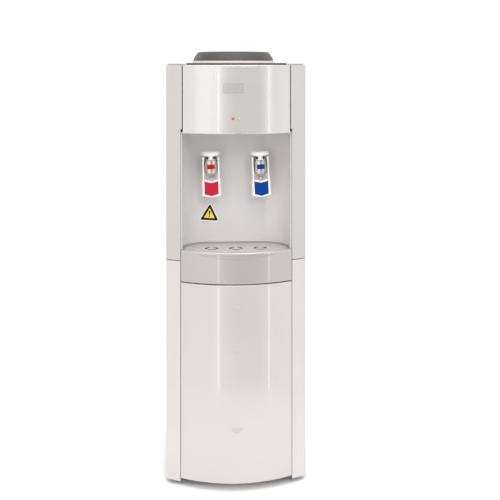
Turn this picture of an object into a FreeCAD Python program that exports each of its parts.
"""Free-standing top-loading hot and cold water dispenser, in millimetres.

+X is to the right, +Y is to the back, +Z is up. The origin is at the middle of the footprint, on the floor.
Every sub-part has its own function and is written to its own STEP file.
"""
import FreeCAD, Part
import math
import os

V = FreeCAD.Vector

# ---- cabinet ----
HALF_W = 155.0            # outer face of the side panels
FRONT_Y = -170.0          # foremost point of the bowed front
FRONT_R = 238.5           # radius of the bow, in plan
ARC_CY = FRONT_Y + FRONT_R
CORNER_IN = 122.4         # inner edge of a corner column
CORNER_IN_Y = -136.2
CORNER_OUT_Y = -119.0     # where a column meets the side of the cabinet
COLUMN_BACK_Y = -104.3
COLUMN_WALL = 3.0
REAR_Y = 130.0            # outer face of the rear panel
SHEET = 1.2               # steel sheet
FOOT_H = 10.0
COLUMN_SPLIT_Z = 492.0
TOP_Z = 921.0             # top of the columns and of the upper front panel
COVER_TOP_Z = 925.5
PANEL_BACK_Y = -131.0     # back edge of the bowed panels
PLASTIC = 3.0

# ---- front, from the floor up ----
LOWER_PANEL_Z = (17.0, 445.0)
TRAY_Z = (447.0, 516.0)
NICHE_TOP_Z = 771.0
UPPER_HALF_W = 117.9
LOWER_HALF_W = 121.7
NOTCH_TOP_Z = 780.0       # the columns' inner edges step out below this
NOTCH_STEP = 3.0
NOTCH_X = 3.0             # small notch in the upper panel's lower edge
INDICATOR_MID = -2.3
INDICATOR_X = (INDICATOR_MID - 6.8, INDICATOR_MID + 6.8)
INDICATOR_Z = 805.0
BADGE = (-8.0, 870.5, 50.0, 27.0)     # centre x, centre z, width, height
MOON_Z = (403.0, 311.0, 138.0)        # top edges of the raised half-moons
MOON_SIZE = (25.0, 10.0)
MOON_RISE = 1.3

# ---- niche ----
NICHE_BACK_Y = -52.0
NICHE_HALF_BACK = 118.0
NICHE_HALF_FRONT = 119.5
LINER_FRONT_Y = -130.0
LINER_WALL = 2.5
LINER_FLOOR_Z = 445.2
NICHE_CORNER_R = 58.0

# ---- drip tray and its grille ----
TRAY_GAP = 0.6
TRAY_WALL = 2.5
TRAY_RIM = 8.0            # top of the bowed front, ahead of the grille
TRAY_LIP_R = 5.0          # rounding of the bowed front's upper edge
TRAY_TIP_R = 7.0          # where the grille's bowed edge meets its sides
GRILLE_TOP_Z = 513.5
GRILLE_T = 3.0
GRILLE_GAP = 0.6
GRILLE_PITCH = 54.0
GRILLE_Y = -112.0
SLOT_R = (10.0, 15.2)

# ---- tanks and collar, all on one vertical axis ----
AXIS_Y = 38.0
COLLAR_TOP_Z = 952.0
SEAT_RING_TOP_Z = 930.5
COLD_R = 62.0
COLD_Z = (722.0, 915.0)
COLD_JACKET_R = 82.0
HOT_R = 50.0
HOT_Z = (562.0, 652.0)
HOT_JACKET_R = 64.0
HOT_JACKET_BORE = 54.5
HOT_STUB_Z = 674.0
DRAIN_STUB_Z = 538.0
STUB_R = 4.5
UPPER_SHELF_Z = 702.0
LOWER_SHELF_Z = 546.0
SHELF_T = 2.0
HOSE_R = 5.0
HOSE_BORE = 3.2

# ---- taps, in their own frame: y = 0 on the niche wall, z = 0 on the shank's axis ----
TAP_X = 55.5
TAP_Z = 694.0
TAP_TILT = {"hot": -1.5, "cold": -3.0}   # degrees about the shank, as fitted
TAP_Y = -42.0             # the barrel's axis
BARREL_R = 14.5
CAVITY_R = 10.0
CAP_R = 20.8
PIVOT_Z = 17.0            # above the shank's axis
ARM_IN = 15.6
ARM_OUT = 20.6            # half width of the paddle
ARM_T = 3.2               # a lever arm's thickness above the paddle
RECESS_X = 8.0            # the pair of round recesses under the cap
RECESS_R = 3.1
RECESS_Z = 19.6
SHANK_R = 9.0
FLANGE_R = 15.0           # seats in a spot face on the niche wall
SHANK_END = 24.0
PIN_R = 1.5

# ---- rear ----
CONDENSER_Y = 167.1
CONDENSER_HALF_W = 112.0
CONDENSER_Z = (250.0, 770.0)
CONDENSER_RUNS = 14
TUBE_R = 2.5
WIRE_R = 0.9
SWITCH_X = (78.0, 102.0)
SWITCH_Z = 855.0
ROCKER_TILT = 8.0
DRAIN_Z = 500.0
DRAIN_PORT_Y = 100.0
GLAND = (105.0, 60.0)     # x and z of the supply cord's entry
COMPRESSOR = (0.0, 45.0)
DISCHARGE_X = 100.0
DISCHARGE_Z = 222.0
SUCTION_X = 118.0
LIQUID_X = -112.0
COIL_TURNS = 5.5
COIL_PITCH = 9.0
COIL_TUBE_R = 3.2
COIL_Z = 735.0


# ---- basic shapes ----
def box(x0, x1, y0, y1, z0, z1):
    return Part.makeBox(x1 - x0, y1 - y0, z1 - z0, V(x0, y0, z0))


def cyl_z(r, z0, z1, x=0.0, y=0.0):
    return Part.makeCylinder(r, z1 - z0, V(x, y, z0), V(0, 0, 1))


def cyl_y(r, y0, y1, x=0.0, z=0.0):
    return Part.makeCylinder(r, y1 - y0, V(x, y0, z), V(0, 1, 0))


def cyl_x(r, x0, x1, y=0.0, z=0.0):
    return Part.makeCylinder(r, x1 - x0, V(x0, y, z), V(1, 0, 0))


def prism(points, direction):
    """A closed polygon of 3-D points, pushed along a direction."""
    wire = Part.makePolygon([V(*p) for p in points] + [V(*points[0])])
    return Part.Face(wire).extrude(V(*direction))


def plan_prism(points, z0, z1):
    return prism([(x, y, z0) for x, y in points], (0, 0, z1 - z0))


def turned(profile, x=0.0, y=0.0):
    """A solid of revolution about a vertical axis, from (radius, z) points."""
    wire = Part.makePolygon([V(r, 0, z) for r, z in profile] + [V(profile[0][0], 0, profile[0][1])])
    solid = Part.Face(wire).revolve(V(0, 0, 0), V(0, 0, 1), 360)
    solid.translate(V(x, y, 0))
    return solid


def mirrored(shape):
    return shape.mirror(V(0, 0, 0), V(1, 0, 0))


def rounded(shape, radius, wanted):
    """Fillets the edges whose bounding box passes the test."""
    edges = [e for e in shape.Edges if wanted(e.BoundBox)]
    return shape.makeFillet(radius, edges) if edges else shape


def is_upright(b):
    return b.ZLength > 1.0 and b.XLength < 0.01 and b.YLength < 0.01


def tube(points, radius, bend, bore=0.0):
    """A round tube along straight runs that are joined by tangent arcs."""
    pts = [V(*p) for p in points]
    edges = []
    start = pts[0]
    for before, corner, after in zip(pts, pts[1:], pts[2:]):
        into = (corner - before).normalize()
        out = (after - corner).normalize()
        half = math.acos(max(-1.0, min(1.0, into.dot(out)))) / 2
        reach = bend * math.tan(half)
        first = corner - into * reach
        last = corner + out * reach
        towards = (out - into).normalize()
        middle = corner + towards * (bend / math.cos(half) - bend)
        edges.append(Part.LineSegment(start, first).toShape())
        edges.append(Part.Arc(first, middle, last).toShape())
        start = last
    edges.append(Part.LineSegment(start, pts[-1]).toShape())
    path = Part.Wire(edges)
    heading = (pts[1] - pts[0]).normalize()

    def sweep(r):
        ring = Part.Wire([Part.makeCircle(r, pts[0], heading)])
        return path.makePipeShell([ring], True, False)
    solid = sweep(radius)
    return solid.cut(sweep(bore)) if bore else solid


def wound(radius, pitch, turns, tube_r, x, y, z):
    """A tube wound upwards about a vertical axis, as short runs joined by arcs."""
    steps = 12
    reach = radius / math.cos(math.pi / steps)
    count = int(turns * steps)
    points = []
    for k in range(count + 1):
        a = 2 * math.pi * k / steps
        points.append((x + reach * math.cos(a), y + reach * math.sin(a), z + pitch * k / steps))
    return tube(points, tube_r, 0.93 * radius)


def helix(radius, pitch, height, tube_r, x, y, z):
    """A round tube wound upwards about a vertical axis."""
    path = Part.makeHelix(pitch, height, radius)
    ring = Part.Wire([Part.makeCircle(tube_r, V(radius, 0, 0), V(0, 1, pitch / (2 * math.pi * radius)))])
    solid = Part.Wire(path.Edges).makePipeShell([ring], True, True)
    solid.translate(V(x, y, z))
    return solid


# ---- the bowed front ----
def arc_y(x, inset=0.0):
    return ARC_CY - math.sqrt((FRONT_R - inset) ** 2 - x * x)


def bowed_face(half_w, back_y, inset=0.0):
    """The plan of a panel: bowed front, straight sides, straight back."""
    side_y = arc_y(half_w, inset)
    arc = Part.Arc(V(-half_w, side_y, 0), V(0, FRONT_Y + inset, 0), V(half_w, side_y, 0)).toShape()
    corners = [V(half_w, side_y, 0), V(half_w, back_y, 0), V(-half_w, back_y, 0), V(-half_w, side_y, 0)]
    lines = [Part.LineSegment(a, b).toShape() for a, b in zip(corners, corners[1:])]
    return Part.Face(Part.Wire([arc] + lines))


def bowed_block(half_w, back_y, z0, z1, inset=0.0):
    block = bowed_face(half_w, back_y, inset).extrude(V(0, 0, z1 - z0))
    block.translate(V(0, 0, z0))
    return block


def bowed_pan(half_w, z0, z1, edge_r):
    """A bowed cover with turned-back edges, open to the back."""
    outer = bowed_block(half_w, PANEL_BACK_Y, z0, z1)
    front = [e for e in outer.Edges if e.BoundBox.YMax < PANEL_BACK_Y - 1]
    outer = outer.makeFillet(edge_r, front)
    inner = bowed_block(half_w - PLASTIC, PANEL_BACK_Y + 1, z0 + PLASTIC, z1 - PLASTIC, PLASTIC)
    return outer.cut(inner)


# ---- cabinet ----
def base_pan():
    y0, y1 = -98.0, REAR_Y - SHEET - 0.3
    pan = box(-152, 152, y0, y1, FOOT_H, FOOT_H + 18)
    pan = pan.cut(box(-152 + SHEET, 152 - SHEET, y0 + SHEET, y1 - SHEET, FOOT_H + SHEET, FOOT_H + 19))
    for x in (-90, -45, 0, 45, 90):
        pan = pan.cut(box(x - 14, x + 14, -72, -68, FOOT_H - 1, FOOT_H + 4))
    return pan


def rubber_feet():
    feet = []
    for x in (-118, 118):
        for y in (-78, 108):
            foot = turned([(0, 0), (15, 0), (17, 2), (17, 7), (14, FOOT_H), (0, FOOT_H)], x, y)
            feet.append(foot)
    return Part.makeCompound(feet)


def side_panel_left():
    """Folded sheet with a front and a rear flange."""
    x0 = -HALF_W
    y0, y1 = COLUMN_BACK_Y + 0.2, REAR_Y
    z0, z1 = FOOT_H + 2, TOP_Z - 3
    panel = box(x0, x0 + SHEET, y0, y1, z0, z1)
    panel = panel.fuse(box(x0, x0 + 12, y0, y0 + SHEET, z0, z1))
    panel = panel.fuse(box(x0, x0 + 12, y1 - SHEET, y1, z0, z1))
    return panel.removeSplitter()


def rear_panel():
    z0, z1 = FOOT_H + 2, TOP_Z - 3
    half = HALF_W - 12.3
    panel = box(-half, half, REAR_Y - SHEET, REAR_Y, z0, z1)
    for row in range(7):
        for x in (-96, -58, 58, 96):
            z = 100 + 16 * row
            panel = panel.cut(box(x - 15, x + 15, REAR_Y - 3, REAR_Y + 1, z, z + 5))
    panel = panel.cut(cyl_y(7.4, REAR_Y - 5, REAR_Y + 1, 0, DRAIN_Z))
    panel = panel.cut(cyl_y(7.2, REAR_Y - 5, REAR_Y + 1, *GLAND))
    panel = panel.cut(cyl_y(4.0, REAR_Y - 5, REAR_Y + 1, DISCHARGE_X, DISCHARGE_Z))
    panel = panel.cut(cyl_y(4.0, REAR_Y - 5, REAR_Y + 1, LIQUID_X, liquid_z()))
    for x in SWITCH_X:
        panel = panel.cut(box(x - 9, x + 9, REAR_Y - 5, REAR_Y + 1, SWITCH_Z - 13, SWITCH_Z + 13))
    return panel


def rear_screws():
    """Pan-head screws that hold the rear panel, all alike."""
    screws = []
    for x in (-136, 136):
        for z in (60, 330, 600, 880):
            head = turned([(0, 0), (4, 0), (3.4, 1.6), (0, 2.4)])
            head.rotate(V(0, 0, 0), V(1, 0, 0), -90)
            head.translate(V(x, REAR_Y, z))
            screws.append(head)
    return Part.makeCompound(screws)


def column_plan(inner_x):
    """Plan of a right-hand column: inner return, slanted face, rounded corner, outer return."""
    slope = (CORNER_OUT_Y - CORNER_IN_Y) / (HALF_W - CORNER_IN)
    inner_y = CORNER_IN_Y - (CORNER_IN - inner_x) * slope
    t = COLUMN_WALL
    return [(inner_x, -112.0), (inner_x, inner_y), (HALF_W, CORNER_OUT_Y), (HALF_W, COLUMN_BACK_Y),
            (HALF_W - t, COLUMN_BACK_Y), (HALF_W - t, CORNER_OUT_Y + 2.0),
            (CORNER_IN + t, CORNER_IN_Y + 4.6), (CORNER_IN + t, -112.0)]


def column(inner_x, z0, z1):
    shell = plan_prism(column_plan(inner_x), z0, z1)
    shell = rounded(shell, 10.0, lambda b: is_upright(b) and b.XMin > HALF_W - 0.1
                    and abs(b.YMin - CORNER_OUT_Y) < 0.1)
    shell = rounded(shell, 7.0, lambda b: is_upright(b) and abs(b.XMin - HALF_W + COLUMN_WALL) < 0.1
                    and abs(b.YMin - CORNER_OUT_Y - 2.0) < 0.1)
    return rounded(shell, 1.6, lambda b: is_upright(b) and b.XMin < inner_x + 0.1 and b.YMin < -130)


def corner_column_lower_right():
    return column(CORNER_IN, FOOT_H, COLUMN_SPLIT_Z - 0.8)


def corner_column_upper_right():
    lower = column(CORNER_IN, COLUMN_SPLIT_Z + 0.8, NOTCH_TOP_Z)
    upper = column(CORNER_IN - NOTCH_STEP, NOTCH_TOP_Z, TOP_Z)
    x0 = CORNER_IN - NOTCH_STEP + 1
    cap = plan_prism([(x0, -112), (x0, -135), (HALF_W - 3.4, -117.5), (HALF_W - 1.5, COLUMN_BACK_Y),
                      (CORNER_IN + 4, COLUMN_BACK_Y)], TOP_Z - 2.5, TOP_Z)
    return lower.fuse([upper, cap]).removeSplitter()


def front_frame():
    """Dark inner frame behind the upper front panel."""
    half = CORNER_IN - NOTCH_STEP - 0.3
    frame = box(-half, half, -128.5, -125.5, NICHE_TOP_Z + 3.5, TOP_Z - 4)
    frame = frame.cut(box(-96, 96, -130, -124, NICHE_TOP_Z + 26, TOP_Z - 26))
    return frame


def top_cover():
    """Lid with a hole for the bottle's neck and a rim that drops inside the panels."""
    plan = [(-153, REAR_Y - 1.5), (153, REAR_Y - 1.5), (153, -116), (121, -133), (96, -141), (-96, -141),
            (-121, -133), (-153, -116)]
    cover = plan_prism(plan, TOP_Z + 0.8, COVER_TOP_Z)
    cover = rounded(cover, 2.0, lambda b: b.ZMin > COVER_TOP_Z - 0.1)
    rim = box(-151, 151, -101, REAR_Y - 3, TOP_Z - 9, TOP_Z + 0.8)
    rim = rim.cut(box(-148, 148, -98, REAR_Y - 6, TOP_Z - 10, TOP_Z + 1))
    cover = cover.fuse(rim).removeSplitter()
    return cover.cut(cyl_z(70, TOP_Z - 5, COVER_TOP_Z + 5, 0, AXIS_Y))


def top_seal_strip():
    """Dark strip that closes the joint between the cover and the upper front panel."""
    outer = bowed_block(CORNER_IN - NOTCH_STEP - 0.2, -120, TOP_Z + 0.7, TOP_Z + 4.3, 6.0)
    hollow = bowed_block(CORNER_IN, -100, TOP_Z, TOP_Z + 5, 9.0)
    strip = outer.cut(hollow)
    return strip.cut(top_cover())


def cover_gasket():
    return cyl_z(66, COLD_Z[1], TOP_Z + 0.8, 0, AXIS_Y).cut(cyl_z(59, COLD_Z[1] - 1, TOP_Z + 2, 0, AXIS_Y))


def seat_ring():
    profile = [(84, COVER_TOP_Z), (99, COVER_TOP_Z), (98.6, SEAT_RING_TOP_Z - 1), (97.4, SEAT_RING_TOP_Z),
               (84, SEAT_RING_TOP_Z)]
    return turned(profile, 0, AXIS_Y)


def bottle_collar():
    """Double-walled collar: outer cone, rolled rim, inner funnel and neck guide."""
    z0 = SEAT_RING_TOP_Z + 0.1
    top = COLLAR_TOP_Z
    outside = [(93.3, z0), (96, z0), (95.2, z0 + 4), (92.2, z0 + 10), (88.2, z0 + 16), (85.6, top - 2.2),
               (83.8, top - 0.6), (81.5, top)]
    funnel = [(78.0, top - 0.6), (72, 948.6), (52, 941.5), (36, 934.5), (30.5, 928), (29, 922), (29, 893)]
    underside = [(31.5, 893), (31.5, 921), (33, 927), (37.5, 932), (53, 938.8), (73, 945.8), (79.5, 947.4),
                 (83.6, 945.6), (86, 943.4), (89.6, z0 + 8.6)]
    return turned(outside + funnel + underside, 0, AXIS_Y)


def feed_probe():
    """Perforated foot and the hollow spike that opens the bottle's cap."""
    z = 893.0
    foot = cyl_z(31.5, z - 3, z, 0, AXIS_Y)
    for k in range(3):
        a = math.radians(90 + 120 * k)
        foot = foot.cut(cyl_z(6.5, z - 4, z + 1, 19.5 * math.cos(a), AXIS_Y + 19.5 * math.sin(a)))
    spike = turned([(0, z), (10, z), (9, z + 4), (8, z + 34), (6.4, z + 41), (3, z + 46), (0, z + 47)],
                   0, AXIS_Y)
    probe = foot.fuse(spike).removeSplitter()
    probe = probe.cut(cyl_z(5.0, z - 4, z + 36, 0, AXIS_Y))
    return probe.cut(cyl_x(2.5, -12, 12, AXIS_Y, z + 30))


# ---- front panels and their trim ----
def upper_front_panel():
    panel = bowed_pan(UPPER_HALF_W, NICHE_TOP_Z, TOP_Z, 2.4)
    for x in INDICATOR_X:
        panel = panel.cut(cyl_y(2.9, FRONT_Y - 5, FRONT_Y + 8, x, INDICATOR_Z))
    for x in (INDICATOR_MID - 15, INDICATOR_MID + 15):
        panel = panel.fuse(cyl_y(2.5, FRONT_Y + 2, -159.0, x, INDICATOR_Z))
    notch = box(NOTCH_X - 6, NOTCH_X + 6, FRONT_Y - 5, FRONT_Y + 5, NICHE_TOP_Z - 1, NICHE_TOP_Z + 2.2)
    return panel.cut(notch).removeSplitter()


def badge_plate():
    x, z, w, h = BADGE
    skin = bowed_block(60, -150, z - h, z + h, -0.9).cut(bowed_block(61, -149, z - h - 1, z + h + 1, 0.0))
    outline = box(x - w / 2, x + w / 2, FRONT_Y - 3, FRONT_Y + 6, z - h / 2, z + h / 2)
    outline = rounded(outline, 6.0, lambda b: b.YLength > 5 and b.XLength < 0.01 and b.ZLength < 0.01)
    return skin.common(outline)


def indicator_lens(x):
    lens = cyl_y(2.8, arc_y(x) - 0.4, arc_y(x) + 6, x, INDICATOR_Z)
    dome = Part.makeSphere(4.0, V(x, arc_y(x) + 2.5, INDICATOR_Z)).common(
        cyl_y(2.8, arc_y(x) - 3, arc_y(x) - 0.4, x, INDICATOR_Z))
    return lens.fuse(dome).removeSplitter()


def indicator_board():
    return box(INDICATOR_MID - 22, INDICATOR_MID + 22, -159.0, -157.4, INDICATOR_Z - 9, INDICATOR_Z + 9)


def half_moon(z):
    """A half-moon on the bowed face, round side down: flush at its top and proud at its round edge."""
    w, h = MOON_SIZE
    half = w / 2
    skin = bowed_block(40, -140, z - h, z, -MOON_RISE).cut(bowed_block(41, -139, z - h - 1, z + 1, 0.6))
    r = (half * half + h * h) / (2 * h)
    disc = cyl_y(r, FRONT_Y - 3, FRONT_Y + 6, 0, z + r - h)
    slant = prism([(-half, FRONT_Y - MOON_RISE, z - h), (-half, FRONT_Y + 6, z - h),
                   (-half, FRONT_Y + 6, z), (-half, FRONT_Y - 0.05, z)], (w, 0, 0))
    return skin.common(disc).common(slant)


def lower_front_panel():
    z0, z1 = LOWER_PANEL_Z
    panel = bowed_pan(LOWER_HALF_W, z0, z1, 2.0)
    for z in MOON_Z:
        panel = panel.fuse(half_moon(z))
    return panel.removeSplitter()


# ---- niche, tray and grille ----
def niche_plan(inset=0.0, front_y=LINER_FRONT_Y):
    """Plan of the space in front of the taps, walls slanting out to the front."""
    slant = (NICHE_HALF_FRONT - NICHE_HALF_BACK) / (NICHE_BACK_Y - LINER_FRONT_Y)
    back, y = NICHE_HALF_BACK - inset, NICHE_BACK_Y - inset
    front = back + slant * (NICHE_BACK_Y - front_y)
    return [(-front, front_y), (-back, y), (back, y), (front, front_y)]


def niche_block(inset, z0, z1, corner_r, front_y=LINER_FRONT_Y):
    block = plan_prism(niche_plan(inset, front_y), z0, z1)
    return rounded(block, corner_r, lambda b: is_upright(b) and b.YMin > LINER_FRONT_Y + 5)


def niche_liner():
    outer = niche_block(-LINER_WALL, LINER_FLOOR_Z, NICHE_TOP_Z + 3, NICHE_CORNER_R + LINER_WALL)
    inner = niche_block(0.0, LINER_FLOOR_Z + 2.3, NICHE_TOP_Z, NICHE_CORNER_R)
    front = box(-125, 125, LINER_FRONT_Y - 5, LINER_FRONT_Y + 0.01, LINER_FLOOR_Z + 2.3, NICHE_TOP_Z)
    lip = niche_block(0.0, TRAY_Z[1] + 1.0, TRAY_Z[1] + 4.5, NICHE_CORNER_R)
    lip = lip.cut(niche_block(1.4, TRAY_Z[1], TRAY_Z[1] + 6, NICHE_CORNER_R - 1.4))
    lip = lip.cut(box(-130, 130, LINER_FRONT_Y - 1, LINER_FRONT_Y + 1, 500, 530))
    liner = outer.cut(inner).cut(front).fuse(lip)
    for x in (-TAP_X, TAP_X):
        liner = liner.cut(cyl_y(SHANK_R + 0.3, NICHE_BACK_Y - 5, NICHE_BACK_Y + 6, x, TAP_Z))
        liner = liner.cut(cyl_y(FLANGE_R + 0.3, NICHE_BACK_Y - 5, NICHE_BACK_Y, x, TAP_Z))
    return liner.removeSplitter()


def drip_tray():
    """Bowed front with a tub behind it that slides out of the niche floor."""
    z0, z1 = TRAY_Z
    fascia = bowed_block(LOWER_HALF_W, PANEL_BACK_Y - 0.4, z0, z1)
    front_edges = [e for e in fascia.Edges if e.BoundBox.YMax < PANEL_BACK_Y - 1.4]
    fascia = fascia.makeFillet(TRAY_LIP_R, [e for e in front_edges if e.BoundBox.ZMin > z1 - 1])
    front_edges = [e for e in fascia.Edges if e.BoundBox.YMax < PANEL_BACK_Y - 1.4]
    fascia = fascia.makeFillet(1.6, [e for e in front_edges if e.BoundBox.ZMax < z0 + 1])
    tub = niche_block(TRAY_GAP, LINER_FLOOR_Z + 2.6, z1, NICHE_CORNER_R - TRAY_GAP)
    bridge = NICHE_HALF_FRONT - TRAY_GAP - 0.1
    tray = fascia.fuse(tub.fuse(box(-bridge, bridge, -134, -129.9, LINER_FLOOR_Z + 2.6, z1)))
    tray = tray.cut(finger_recess())
    floor_z = LINER_FLOOR_Z + 5.5
    seat_z = GRILLE_TOP_Z - GRILLE_T
    tray = tray.cut(tray_space(0.0, PLASTIC, floor_z, seat_z - 3))
    tray = tray.cut(tray_space(4.0, TRAY_RIM + 4, seat_z - 4, seat_z))
    tray = tray.cut(grille_plan(0.0, seat_z, z1 + 1))
    return tray.removeSplitter()


def finger_recess():
    """A shallow crescent under the rim of the tray's front."""
    half_w, z_top, dip, depth = 84.0, TRAY_Z[1] - 6.5, 9.5, 1.1
    r = (half_w ** 2 + dip ** 2) / (2 * dip)
    skin = bowed_block(LOWER_HALF_W + 5, -120, z_top - dip, z_top, -2.0)
    skin = skin.cut(bowed_block(LOWER_HALF_W + 6, -119, z_top - dip - 1, z_top + 1, depth))
    return skin.common(cyl_y(r, FRONT_Y - 5, FRONT_Y + 60, 0, z_top - dip + r))


def tray_space(inset, front_inset, z0, z1, tip_r=0.0):
    """The hollow of the tray between two heights: the niche's plan, carried forward to the bowed front."""
    block = niche_block(TRAY_GAP + TRAY_WALL + inset, z0, z1, NICHE_CORNER_R - 4, FRONT_Y)
    block = block.common(cyl_z(FRONT_R - front_inset, z0, z1, 0, ARC_CY))
    if tip_r:
        block = rounded(block, tip_r, lambda b: is_upright(b) and b.YMax < LINER_FRONT_Y + 5)
    return block


def grille_plan(gap, z0, z1):
    """Outline of the grille's seat, less a gap all round, with its two front tips rounded."""
    return tray_space(gap, TRAY_RIM + gap, z0, z1, TRAY_TIP_R)


def drip_grille():
    """Plate with three groups of drain slots."""
    grille = grille_plan(GRILLE_GAP, GRILLE_TOP_Z - GRILLE_T, GRILLE_TOP_Z)
    for x in (-GRILLE_PITCH, 0, GRILLE_PITCH):
        for slot in drain_slots(x, GRILLE_Y):
            grille = grille.cut(slot)
    return grille


def drain_slots(x, y):
    """Three curved slots around a raised middle."""
    ring = cyl_z(SLOT_R[1], 505, 520, x, y).cut(cyl_z(SLOT_R[0], 504, 521, x, y))
    slots = []
    for k in range(3):
        a = math.radians(-90 + 120 * k)
        reach = 30.0
        wedge = plan_prism([(x, y)] + [(x + reach * math.cos(a + s), y + reach * math.sin(a + s))
                                       for s in (-0.78, 0.0, 0.78)], 505, 520)
        slots.append(ring.common(wedge))
    return slots


# ---- taps ----
def fitted(shape, side):
    """Moves a tap piece from the tap's own frame to its place, with the tilt it is fitted at."""
    shape = shape.copy()
    sign = -1 if side == "hot" else 1
    shape.rotate(V(0, 0, 0), V(0, 1, 0), TAP_TILT[side])
    shape.translate(V(sign * TAP_X, NICHE_BACK_Y, TAP_Z))
    return shape


def tap_body():
    outside = [(0, 24), (13, 24), (13, 14.6), (BARREL_R, 13), (BARREL_R, -10.5), (13.2, -15.5), (8.2, -22),
               (5.6, -25), (5, -29), (0, -29)]
    body = turned(outside, 0, TAP_Y)
    body = body.fuse(cyl_y(SHANK_R, TAP_Y, SHANK_END)).fuse(cyl_y(FLANGE_R, -3, 0))
    cavity = turned([(0, -12), (4, -12), (CAVITY_R, -7), (CAVITY_R, 25), (0, 25)], 0, TAP_Y)
    body = body.cut(cavity).cut(cyl_z(3, -30, -8, 0, TAP_Y)).cut(cyl_y(4, TAP_Y, SHANK_END + 1))
    for x in (-RECESS_X, RECESS_X):
        body = body.cut(cyl_y(RECESS_R, TAP_Y - 16, TAP_Y - 5, x, RECESS_Z))
    body = body.cut(cyl_x(PIN_R, -14, 14, TAP_Y, PIVOT_Z))
    return body.removeSplitter()


def tap_cap():
    profile = [(0, 24.1), (17, 24.1), (19.6, 26), (CAP_R, 28.5), (CAP_R, 30.5), (19, 33), (15.5, 34),
               (0, 34)]
    cap = turned(profile, 0, TAP_Y)
    cap = cap.fuse(box(-2.4, 2.4, TAP_Y - 16.4, TAP_Y - 13.2, 14.9, 27))
    return cap.cut(cyl_z(3.3, 23, 30, 0, TAP_Y)).removeSplitter()


def valve_plunger():
    return turned([(0, -6.6), (4.6, -11), (9.4, -6.4), (9.4, -3), (3, -3), (3, 21), (0, 21)], 0, TAP_Y)


def tap_spring():
    return helix(6.6, 4.4, 22.0, 0.8, 0, TAP_Y, -1.2)


def tap_lever():
    """U-shaped lever: two arms from the pivots down to the paddle that a cup pushes."""
    plate = lever_outline(ARM_OUT, -28, -33, -66, -70, -39.6, -35.5)
    lever = plate
    side = [(TAP_Y - 6.5, PIVOT_Z), (TAP_Y + 6.5, PIVOT_Z), (-35.5, -28), (-35.5, -66), (-41.6, -66.6),
            (-44.5, -30)]
    for x in (-ARM_IN - ARM_T, ARM_IN):
        arm = prism([(x, y, z) for y, z in side], (ARM_T, 0, 0))
        arm = arm.fuse(cyl_x(6.5, x, x + ARM_T, TAP_Y, PIVOT_Z))
        arm = arm.cut(cyl_x(PIN_R + 0.05, x - 1, x + 6, TAP_Y, PIVOT_Z))
        lever = lever.fuse(arm)
    lip = lever_outline(ARM_OUT, -28, -33, -66, -70, -41.6, -39.6)
    lip = lip.cut(lever_outline(16.3, -33.6, -37.6, -62.6, -67.2, -43, -39))
    return lever.fuse(lip).removeSplitter()


def lever_outline(half_w, top_side, top_mid, low_side, low_mid, y0, y1):
    pts = [(-half_w, top_side), (0, top_mid), (half_w, top_side), (half_w, low_side), (0, low_mid),
           (-half_w, low_side)]
    return prism([(x, y0, z) for x, z in pts], (0, y1 - y0, 0))


def lever_insert():
    return lever_outline(ARM_IN - 0.1, -33.9, -37.9, -62.3, -66.9, -41.2, -39.6)


def lever_pins():
    tip = ARM_IN + ARM_T - 0.2
    return Part.makeCompound([cyl_x(PIN_R, -tip, -CAVITY_R - 0.3, TAP_Y, PIVOT_Z),
                              cyl_x(PIN_R, CAVITY_R + 0.3, tip, TAP_Y, PIVOT_Z)])


def tap_marker():
    skin = cyl_z(BARREL_R + 0.8, -6, 6, 0, TAP_Y).cut(cyl_z(BARREL_R + 0.05, -7, 7, 0, TAP_Y))
    return skin.common(box(-8.5, 8.5, TAP_Y - 18, TAP_Y - 5, -5.2, 5.2))


def tap_nut():
    flats = [(14 * math.cos(math.radians(60 * k)), 14 * math.sin(math.radians(60 * k))) for k in range(6)]
    nut = prism([(x, LINER_WALL + 0.05, z) for x, z in flats], (0, 7, 0))
    return nut.cut(cyl_y(SHANK_R, 0, 12))


TAP_PIECES = {"tap_body": tap_body, "tap_cap": tap_cap, "valve_plunger": valve_plunger,
              "tap_spring": tap_spring, "lever": tap_lever, "lever_insert": lever_insert}


# ---- tanks and hoses ----
def shell(profile_out, profile_in):
    return turned(profile_out, 0, AXIS_Y).cut(turned(profile_in, 0, AXIS_Y))


def cold_tank():
    z0, z1 = COLD_Z
    tank = shell([(0, z0), (COLD_R - 6, z0), (COLD_R, z0 + 6), (COLD_R, z1), (0, z1)],
                 [(0, z0 + 1.5), (COLD_R - 7, z0 + 1.5), (COLD_R - 1.5, z0 + 7), (COLD_R - 1.5, z1 + 1),
                  (0, z1 + 1)])
    for x, y in ((20, AXIS_Y), (0, AXIS_Y + 24)):
        tank = tank.fuse(cyl_z(STUB_R, UPPER_SHELF_Z - 6, z0 + 1, x, y))
        tank = tank.cut(cyl_z(HOSE_BORE, UPPER_SHELF_Z - 7, z0 + 4, x, y))
    return tank.removeSplitter()


def cold_baffle():
    """Disc that keeps fresh water off the chilled water, with the hot tank's feed tube through it."""
    disc = cyl_z(COLD_R - 2.0, 812, 814.5, 0, AXIS_Y)
    for k in range(6):
        a = math.radians(60 * k)
        disc = disc.cut(cyl_z(5, 811, 816, 44 * math.cos(a), AXIS_Y + 44 * math.sin(a)))
    feed = cyl_z(5.5, COLD_Z[0] + 2, 830, 0, AXIS_Y + 24)
    return disc.fuse(feed).cut(cyl_z(HOSE_BORE, COLD_Z[0], 831, 0, AXIS_Y + 24)).removeSplitter()


def coil_end_z():
    return COIL_Z + COIL_TURNS * COIL_PITCH


def liquid_z():
    return coil_end_z()


def coil_r():
    return COLD_R + COIL_TUBE_R + 0.3


def evaporator_coil():
    return wound(coil_r(), COIL_PITCH, COIL_TURNS, COIL_TUBE_R, 0, AXIS_Y, COIL_Z)


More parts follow.
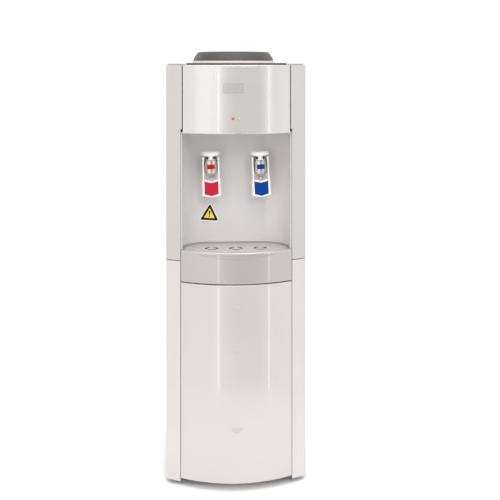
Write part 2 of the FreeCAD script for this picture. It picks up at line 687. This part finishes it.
def cold_jacket():
    z0 = UPPER_SHELF_Z + SHELF_T
    z1 = COLD_Z[1] - 4
    jacket = shell([(0, z0), (COLD_JACKET_R, z0), (COLD_JACKET_R, z1), (0, z1)],
                   [(0, COLD_Z[0]), (70, COLD_Z[0]), (70, z1 - 30), (COLD_R + 0.2, z1 - 22),
                    (COLD_R + 0.2, z1 + 1), (0, z1 + 1)])
    for x, y in ((20, AXIS_Y), (0, AXIS_Y + 24)):
        jacket = jacket.cut(cyl_z(STUB_R + 0.2, z0 - 1, COLD_Z[0] + 1, x, y))
    jacket = jacket.cut(cyl_x(4.0, 60, 90, AXIS_Y, COIL_Z))
    return jacket.cut(cyl_x(4.0, -90, -60, AXIS_Y, coil_end_z()))


def hot_tank():
    z0, z1 = HOT_Z
    tank = shell([(0, z0), (HOT_R - 8, z0), (HOT_R, z0 + 8), (HOT_R, z1 - 8), (HOT_R - 8, z1), (0, z1)],
                 [(0, z0 + 1.2), (HOT_R - 8.5, z0 + 1.2), (HOT_R - 1.2, z0 + 8.5), (HOT_R - 1.2, z1 - 8.5),
                  (HOT_R - 8.5, z1 - 1.2), (0, z1 - 1.2)])
    for x, y in ((-20, AXIS_Y), (0, AXIS_Y + 24)):
        tank = tank.fuse(cyl_z(STUB_R, z1 - 1, HOT_STUB_Z, x, y))
        tank = tank.cut(cyl_z(HOSE_BORE, z1 - 3, HOT_STUB_Z + 1, x, y))
    tank = tank.fuse(cyl_z(STUB_R, DRAIN_STUB_Z, z0 + 1, 0, AXIS_Y))
    return tank.cut(cyl_z(HOSE_BORE, DRAIN_STUB_Z - 1, z0 + 3, 0, AXIS_Y)).removeSplitter()


def heater_band():
    band = cyl_z(HOT_R + 3.2, 585, 625, 0, AXIS_Y).cut(cyl_z(HOT_R + 0.1, 584, 626, 0, AXIS_Y))
    return band.cut(box(-4, 4, AXIS_Y + 40, AXIS_Y + 60, 580, 630))


def hot_jacket():
    z0, z1 = LOWER_SHELF_Z + SHELF_T, HOT_Z[1] + 14
    jacket = shell([(0, z0), (HOT_JACKET_R, z0), (HOT_JACKET_R, z1), (0, z1)],
                   [(0, HOT_Z[0] - 0.2), (HOT_JACKET_BORE, HOT_Z[0] - 0.2),
                    (HOT_JACKET_BORE, HOT_Z[1] + 0.3), (0, HOT_Z[1] + 0.3)])
    jacket = jacket.cut(cyl_z(STUB_R + 0.3, z0 - 1, HOT_Z[0] + 1, 0, AXIS_Y))
    for x, y in ((-20, AXIS_Y), (0, AXIS_Y + 24)):
        jacket = jacket.cut(cyl_z(STUB_R + 0.3, HOT_Z[1] - 1, z1 + 1, x, y))
    return jacket.cut(box(-14, 14, AXIS_Y + 52, AXIS_Y + 70, 576, 634))


def hot_thermostats():
    """Control and safety cut-out discs, clipped to the heater band's gap."""
    discs = []
    for z in (592, 618):
        disc = cyl_y(8, AXIS_Y + HOT_R + 4.0, AXIS_Y + HOT_R + 11, 0, z)
        discs.append(disc)
    return Part.makeCompound(discs)


def shelf(z, holes):
    plate = box(-153, 153, -46, REAR_Y - 2, z, z + SHELF_T)
    for x, y, r in holes:
        plate = plate.cut(cyl_z(r, z - 1, z + SHELF_T + 1, x, y))
    return plate


def upper_shelf():
    """Carries the cold tank; notched around the backs of the taps."""
    plate = shelf(UPPER_SHELF_Z, [(20, AXIS_Y, 7), (0, AXIS_Y + 24, 7), (SUCTION_X, AXIS_Y, 6)])
    for x in (-TAP_X, TAP_X):
        plate = plate.cut(box(x - 18, x + 18, -60, -22, UPPER_SHELF_Z - 1, UPPER_SHELF_Z + 3))
    return plate


def lower_shelf():
    return shelf(LOWER_SHELF_Z, [(0, AXIS_Y, 7), (SUCTION_X, AXIS_Y, 6)])


def cold_hose():
    y0 = NICHE_BACK_Y + SHANK_END
    route = [(TAP_X, y0, TAP_Z), (TAP_X, y0 + 22, TAP_Z), (TAP_X - 10, 22, 682), (20, AXIS_Y, 682),
             (20, AXIS_Y, UPPER_SHELF_Z - 6)]
    return tube(route, HOSE_R, 7.0, HOSE_BORE)


def hot_hose():
    y0 = NICHE_BACK_Y + SHANK_END
    route = [(-TAP_X, y0, TAP_Z), (-TAP_X, y0 + 20, TAP_Z), (-TAP_X + 10, 22, 692), (-20, AXIS_Y, 692),
             (-20, AXIS_Y, HOT_STUB_Z)]
    return tube(route, HOSE_R, 7.0, HOSE_BORE)


def hot_feed_hose():
    hose = cyl_z(HOSE_R, HOT_STUB_Z, UPPER_SHELF_Z - 6, 0, AXIS_Y + 24)
    return hose.cut(cyl_z(HOSE_BORE, HOT_STUB_Z - 1, UPPER_SHELF_Z, 0, AXIS_Y + 24))


def drain_hose():
    route = [(0, AXIS_Y, DRAIN_STUB_Z), (0, AXIS_Y, DRAIN_Z), (0, DRAIN_PORT_Y, DRAIN_Z)]
    return tube(route, HOSE_R, 18.0, HOSE_BORE)


# ---- cooling circuit ----
def compressor_lower():
    x, y = COMPRESSOR
    bowl = turned([(0, 40), (48, 40), (60, 54), (63, 68), (63, 106), (66, 106), (66, 110), (0, 110)], x, y)
    bowl = bowl.cut(turned([(0, 43), (46, 43), (57.5, 56), (60, 68), (60, 111), (0, 111)], x, y))
    return bowl.fuse(box(x - 84, x + 84, y - 44, y + 44, 37, 40)).removeSplitter()


def compressor_upper():
    x, y = COMPRESSOR
    dome = turned([(0, 110), (66, 110), (66, 114), (63, 114), (62, 140), (55, 164), (40, 178), (20, 184),
                   (0, 185)], x, y)
    hollow = turned([(0, 109), (60, 109), (59, 140), (52, 162), (38, 175), (19, 181), (0, 182)], x, y)
    return dome.cut(hollow)


def compressor_motor():
    return cyl_z(44, 60, 150, *COMPRESSOR).cut(cyl_z(9, 59, 151, *COMPRESSOR))


def compressor_mounts():
    mounts = []
    for x in (-72, 72):
        for y in (-34, 34):
            z0 = FOOT_H + SHEET
            profile = [(0, z0), (11, z0), (8, z0 + 8), (11, 37), (0, 37)]
            mounts.append(turned(profile, COMPRESSOR[0] + x, COMPRESSOR[1] + y))
    return Part.makeCompound(mounts)


def relay_cover():
    x, y = COMPRESSOR
    cover = box(x - 92, x - 40, y - 24, y + 24, 58, 104)
    cover = rounded(cover, 5.0, lambda b: b.XMax < x - 91)
    return cover.cut(cyl_z(63.3, 50, 112, x, y))


def discharge_line():
    x, y = COMPRESSOR
    route = [(x + 30, y, 181), (x + 30, y, DISCHARGE_Z), (DISCHARGE_X, y + 30, DISCHARGE_Z),
             (DISCHARGE_X, CONDENSER_Y, DISCHARGE_Z), (DISCHARGE_X, CONDENSER_Y, CONDENSER_Z[0])]
    return tube(route, TUBE_R, 12.0).cut(compressor_upper())


def condenser_tube():
    """One tube bent to and fro up the back, from the discharge line to the liquid line."""
    z0, z1 = CONDENSER_Z
    pitch = (z1 - z0 - 20) / (CONDENSER_RUNS - 1)
    route = [(DISCHARGE_X, CONDENSER_Y, z0)]
    x = -CONDENSER_HALF_W
    z = z0 + 20
    route.append((DISCHARGE_X, CONDENSER_Y, z))
    for run in range(CONDENSER_RUNS):
        route.append((x, CONDENSER_Y, z))
        if run < CONDENSER_RUNS - 1:
            z += pitch
            route.append((x, CONDENSER_Y, z))
            x = -x
    route.append((x, CONDENSER_Y, z + 10))
    return tube(route, TUBE_R, 6.0)


def condenser_wires():
    wires = []
    count = 27
    for k in range(count):
        x = -96 + 192 * k / (count - 1)
        for side in (-1, 1):
            y = CONDENSER_Y + side * (TUBE_R + WIRE_R + 0.03)
            wires.append(cyl_z(WIRE_R, CONDENSER_Z[0] + 12, CONDENSER_Z[1] + 8, x, y))
    return Part.makeCompound(wires)


def condenser_brackets():
    """Standoffs that hold the condenser off the rear panel."""
    brackets = []
    for x in (-104, 104):
        for z in (CONDENSER_Z[0] + 40, CONDENSER_Z[1] - 40):
            arm = box(x - 4, x + 4, REAR_Y, CONDENSER_Y - TUBE_R - 0.1, z - 1, z + 1)
            foot = box(x - 4, x + 4, REAR_Y, REAR_Y + 1.5, z - 10, z + 10)
            hook = box(x - 4, x + 4, CONDENSER_Y - TUBE_R - 1.6, CONDENSER_Y - TUBE_R - 0.1, z - 24, z + 24)
            brackets.append(foot.fuse([arm, hook]).removeSplitter())
    return Part.makeCompound(brackets)


def liquid_line():
    route = [(LIQUID_X, CONDENSER_Y, CONDENSER_Z[1] + 10), (LIQUID_X, CONDENSER_Y, liquid_z()),
             (LIQUID_X, REAR_Y - 10, liquid_z())]
    line = tube(route, TUBE_R, 4.0)
    bends = [(LIQUID_X, 72, liquid_z()), (LIQUID_X, AXIS_Y, liquid_z()), (-coil_r(), AXIS_Y, liquid_z())]
    tail = tube(bends, 1.5, 14.0)
    return Part.makeCompound([line, tail.cut(evaporator_coil())])


def filter_drier():
    drier = turned([(0, 0), (2.5, 0), (2.5, 4), (9, 9), (9, 39), (2.5, 44), (2.5, 48), (0, 48)])
    drier.rotate(V(0, 0, 0), V(1, 0, 0), -90)
    drier.translate(V(LIQUID_X, 72, liquid_z()))
    return drier


def suction_line():
    x, y = COMPRESSOR
    route = [(coil_r() + 1, AXIS_Y, COIL_Z), (SUCTION_X, AXIS_Y, COIL_Z), (SUCTION_X, AXIS_Y, 150),
             (x + 62.5, y - 7, 150)]
    line = tube(route, 3.2, 14.0)
    return line.cut(evaporator_coil()).cut(compressor_upper())


# ---- back of the cabinet ----
def switch_plate():
    x_mid = sum(SWITCH_X) / 2
    plate = box(x_mid - 26, x_mid + 26, REAR_Y, REAR_Y + 2.5, SWITCH_Z - 19, SWITCH_Z + 19)
    plate = rounded(plate, 3.0, lambda b: abs(b.YLength - 2.5) < 0.1 and b.XLength < 0.01
                    and b.ZLength < 0.01)
    for x in SWITCH_X:
        plate = plate.fuse(box(x - 8.6, x + 8.6, REAR_Y - 14, REAR_Y, SWITCH_Z - 12.6, SWITCH_Z + 12.6))
    for x in SWITCH_X:
        plate = plate.cut(box(x - 7.3, x + 7.3, REAR_Y - 12.5, REAR_Y + 3,
                              SWITCH_Z - 11.2, SWITCH_Z + 11.2))
    return plate.removeSplitter()


def rocker(x):
    """Rocker button, modelled in its off position."""
    profile = [(-3.5, -9.8), (3.6, -9.8), (1.6, 0), (3.6, 9.8), (-3.5, 9.8)]
    y0 = REAR_Y + 1.5
    body = prism([(x - 6.8, y0 + y, SWITCH_Z + z) for y, z in profile], (13.6, 0, 0))
    body.rotate(V(x, y0 - 1.5, SWITCH_Z), V(1, 0, 0), -ROCKER_TILT)
    return body


def drain_port():
    port = cyl_y(7, DRAIN_PORT_Y, REAR_Y + 16, 0, DRAIN_Z).fuse(cyl_y(12, REAR_Y, REAR_Y + 3, 0, DRAIN_Z))
    return port.cut(cyl_y(4.5, DRAIN_PORT_Y - 1, REAR_Y + 17, 0, DRAIN_Z)).removeSplitter()


def drain_cap():
    """Ribbed cap over the port."""
    cap = cyl_y(11, REAR_Y + 3.2, REAR_Y + 20, 0, DRAIN_Z)
    for k in range(12):
        a = math.radians(30 * k)
        cap = cap.fuse(cyl_y(1.2, REAR_Y + 3.2, REAR_Y + 18, 10.8 * math.cos(a),
                             DRAIN_Z + 10.8 * math.sin(a)))
    return cap.cut(cyl_y(7.06, REAR_Y + 3, REAR_Y + 16.3, 0, DRAIN_Z)).removeSplitter()


def power_inlet_gland():
    x, z = GLAND
    gland = turned([(3.8, 0), (3.8, 15), (6.4, 15), (7.6, 3.5), (10.5, 3), (10.5, 0), (7.0, 0), (7.0, -6),
                    (3.8, -6)])
    gland.rotate(V(0, 0, 0), V(1, 0, 0), -90)
    gland.translate(V(x, REAR_Y, z))
    return gland


# ---- pieces that share a node as separate solids ----
def group(*makers):
    return lambda: Part.makeCompound([make() for make in makers])


def on_both_taps(make):
    """The same piece on each tap, as one group."""
    return lambda: Part.makeCompound([fitted(make(), side) for side in TAP_TILT])


SINGLE_PIECES = {
    "base_pan": base_pan, "rubber_feet": rubber_feet, "rear_panel": rear_panel, "rear_screws": rear_screws,
    "front_frame": front_frame, "top_cover": top_cover, "top_seals": group(top_seal_strip, cover_gasket),
    "seat_ring": seat_ring, "bottle_collar": bottle_collar, "feed_probe": feed_probe,
    "upper_front_panel": upper_front_panel, "badge_plate": badge_plate, "indicator_board": indicator_board,
    "lower_front_panel": lower_front_panel, "niche_liner": niche_liner, "drip_tray": drip_tray,
    "drip_grille": drip_grille, "cold_tank": cold_tank, "cold_baffle": cold_baffle,
    "evaporator_coil": evaporator_coil, "foam_jackets": group(cold_jacket, hot_jacket), "hot_tank": hot_tank,
    "hot_tank_heater": group(heater_band, hot_thermostats), "tank_shelves": group(upper_shelf, lower_shelf),
    "hoses": group(cold_hose, hot_hose, hot_feed_hose, drain_hose),
    "compressor": group(compressor_lower, compressor_upper, compressor_motor),
    "compressor_mounts": compressor_mounts, "relay_cover": relay_cover, "condenser_tube": condenser_tube,
    "condenser_frame": group(condenser_wires, condenser_brackets),
    "refrigerant_lines": group(discharge_line, liquid_line, filter_drier, suction_line),
    "switch_plate": switch_plate, "drain_port": drain_port, "drain_cap": drain_cap,
    "power_inlet_gland": power_inlet_gland, "tap_nuts": on_both_taps(tap_nut),
    "lever_pins": on_both_taps(lever_pins), "tap_markers": on_both_taps(tap_marker),
}


def make_all():
    parts = {name: make() for name, make in SINGLE_PIECES.items()}
    for name, make in (("side_panel", side_panel_left), ("corner_column_lower", corner_column_lower_right),
                       ("corner_column_upper", corner_column_upper_right)):
        shape = make()
        first, second = ("left", "right") if name == "side_panel" else ("right", "left")
        parts[name + "_" + first] = shape
        parts[name + "_" + second] = mirrored(shape)
    for name, x in zip(("red", "yellow"), INDICATOR_X):
        parts["indicator_lens_" + name] = indicator_lens(x)
    for name, x in zip(("heating", "cooling"), SWITCH_X):
        parts[name + "_rocker"] = rocker(x)
    for name, make in TAP_PIECES.items():
        shape = make()
        for side in TAP_TILT:
            parts[side + "_" + name] = fitted(shape, side)
    return parts


os.makedirs("parts", exist_ok=True)
for node, shape in make_all().items():
    shape.exportStep("parts/" + node + ".step")
